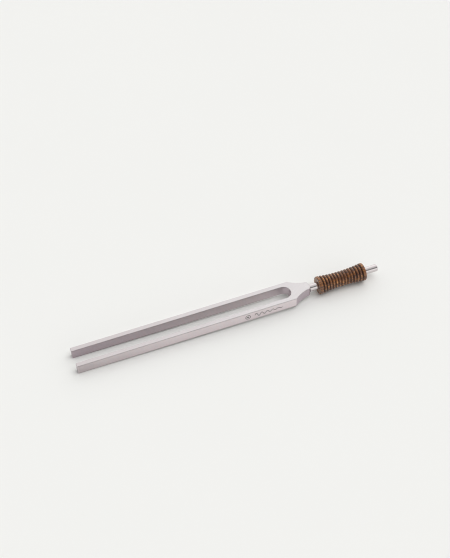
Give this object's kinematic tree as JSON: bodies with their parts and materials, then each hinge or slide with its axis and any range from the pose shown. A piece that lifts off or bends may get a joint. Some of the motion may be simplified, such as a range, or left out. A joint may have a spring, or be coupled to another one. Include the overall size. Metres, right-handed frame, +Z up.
{
  "type": "tuning fork",
  "caption": "Long slender tuning fork milled from flat bar, with a round polished stem screwed into its neck and a waisted, ribbed hardwood grip.",
  "frame": {"origin": "on the stem's axis, half-way along the fork's whole length", "axes": "+X along the fork from the tine tips to the foot of the stem, +Y across the two tines, +Z up through the thickness of the bar, with the fork lying flat"},
  "size_m": [0.2504, 0.02, 0.0144],
  "materials": {
    "bar": "satin, finely brushed, clear anodised",
    "stem": "polished",
    "grip": "oiled, open grain"
  },
  "bodies": {
    "root": {"fork_body": "bar", "stem": "stem", "grip": "grip"}
  },
  "joints": []
}
